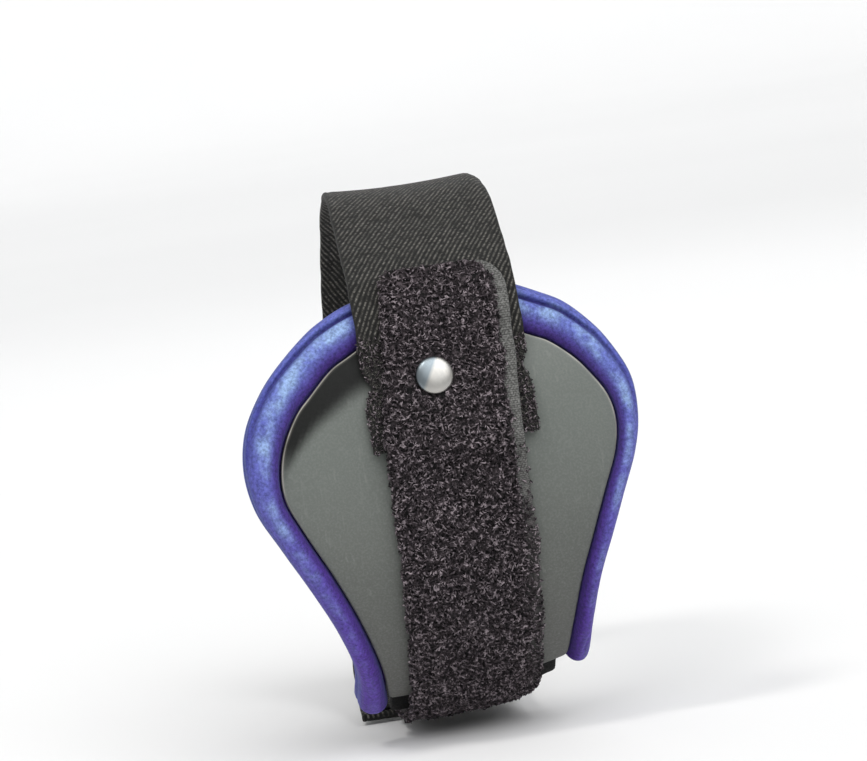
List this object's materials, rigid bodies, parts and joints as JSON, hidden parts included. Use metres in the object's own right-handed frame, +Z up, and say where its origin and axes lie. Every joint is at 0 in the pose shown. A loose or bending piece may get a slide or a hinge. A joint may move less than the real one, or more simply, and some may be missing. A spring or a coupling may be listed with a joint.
{
  "type": "tennis elbow strap",
  "caption": "Forearm strap with a grey half-stiff shell on a blue padded horseshoe rim, held on by an elastic band and a loop-pile strap riveted at the front.",
  "frame": {"origin": "centre of the opening for the forearm, on the forearm's axis, level with the middle of the elastic band", "axes": "+X along the forearm towards the hand, +Z up across the forearm, the shell faces -Y"},
  "size_m": [0.0739, 0.0957, 0.1048],
  "materials": {
    "foam": "closed-cell foam, matt black",
    "rim_fabric": "smooth knitted blue-violet fabric over foam, soft sheen",
    "shell_plastic": "half-stiff grey plastic, semi-gloss",
    "elastic_webbing": "black twill elastic webbing",
    "loop_pile": "charcoal brushed loop pile on woven tape",
    "hook_tape": "black moulded hooks on woven tape",
    "rivet_metal": "nickel plated, polished dome"
  },
  "bodies": {
    "root": {"foam_pad": "foam", "pad_rim": "rim_fabric", "shell_plate": "shell_plastic", "elastic_strap": "elastic_webbing", "loop_strap": "loop_pile", "hook_patch": "hook_tape", "rivet": "rivet_metal"}
  },
  "joints": []
}
